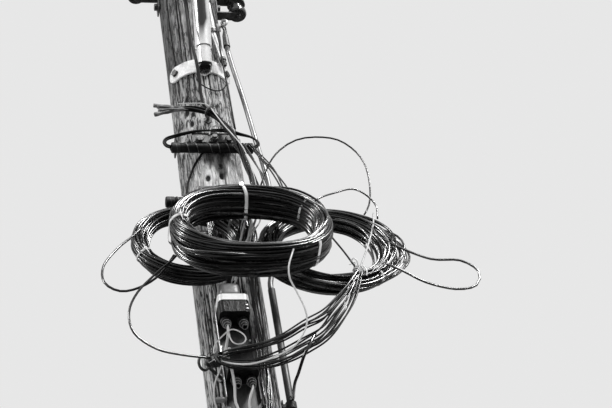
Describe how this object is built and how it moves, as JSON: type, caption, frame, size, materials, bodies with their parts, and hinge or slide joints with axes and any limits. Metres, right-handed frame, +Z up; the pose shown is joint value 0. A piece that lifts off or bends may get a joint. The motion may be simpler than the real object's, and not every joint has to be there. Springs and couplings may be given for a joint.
{
  "type": "wooden telephone pole",
  "caption": "Weathered wooden utility pole with a street light arm, service spools, strand clamps, tied coils of drop wire, pole terminals and risers.",
  "frame": {"origin": "centre of the pole's foot at ground level", "axes": "+Z up the pole, X along the line of the wires, -Y towards the street light and the pictured side"},
  "size_m": [1.1954, 2.1769, 8.84],
  "materials": {
    "weathered_wood": "weathered, cracked, grey",
    "galvanised": "hot-dip galvanised, dull",
    "arm_metal": "satin, weathered",
    "dark_iron": "dark, weathered",
    "bolt_steel": "dull, stained",
    "spool_glaze": "dark glossy glaze",
    "black_jacket": "weathered black cable jacket",
    "grey_jacket": "weathered grey cable jacket",
    "light_jacket": "pale cable jacket",
    "terminal_black": "moulded black plastic",
    "terminal_grey": "moulded grey plastic",
    "pale_band": "pale moulded band",
    "tie_white": "pale plastic strap",
    "lamp_paint": "grey paint, chalked",
    "lens": "clear, moulded",
    "sensor_plastic": "moulded dark plastic",
    "nozzle_rubber": "moulded black rubber"
  },
  "bodies": {
    "root": {"pole_shaft": "weathered_wood", "arm_saddle": "galvanised", "arm_saddle_bolts": "bolt_steel", "arm_stub": "arm_metal", "arm_tube": "arm_metal", "arm_brace": "galvanised", "brace_collar": "galvanised", "lamp_head": "lamp_paint", "lamp_lens": "lens", "lamp_sensor": "sensor_plastic", "right_clevis": "dark_iron", "right_spool": "spool_glaze", "left_clevis": "dark_iron", "left_spool": "spool_glaze", "clevis_pins": "bolt_steel", "clevis_bolts": "bolt_steel", "service_hook": "galvanised", "service_grip": "bolt_steel", "feed_couplings": "dark_iron", "service_cable": "grey_jacket", "feed_conduit": "light_jacket", "upper_clamp": "bolt_steel", "upper_clamp_bolt": "bolt_steel", "upper_cable_sleeve": "terminal_black", "side_bolt": "bolt_steel", "drop_sheath": "terminal_grey", "drop_bundle": "black_jacket", "upper_ring": "galvanised", "lower_clamp": "bolt_steel", "lower_clamp_bolt": "bolt_steel", "lower_cable_sleeve": "terminal_black", "front_coil": "black_jacket", "left_coil": "black_jacket", "right_coil": "black_jacket", "coil_ties": "tie_white", "coil_straps": "tie_white", "lower_bundle": "black_jacket", "lower_ring": "galvanised", "left_loops": "black_jacket", "right_loop": "black_jacket", "terminal_plate": "dark_iron", "upper_terminal": "terminal_black", "terminal_cap": "terminal_grey", "terminal_band": "pale_band", "lower_terminal": "terminal_black", "cable_nozzles": "nozzle_rubber", "riser_cables": "light_jacket", "riser_guard": "galvanised", "guard_screws": "bolt_steel", "conduit": "grey_jacket", "conduit_clamps": "dark_iron"}
  },
  "joints": []
}
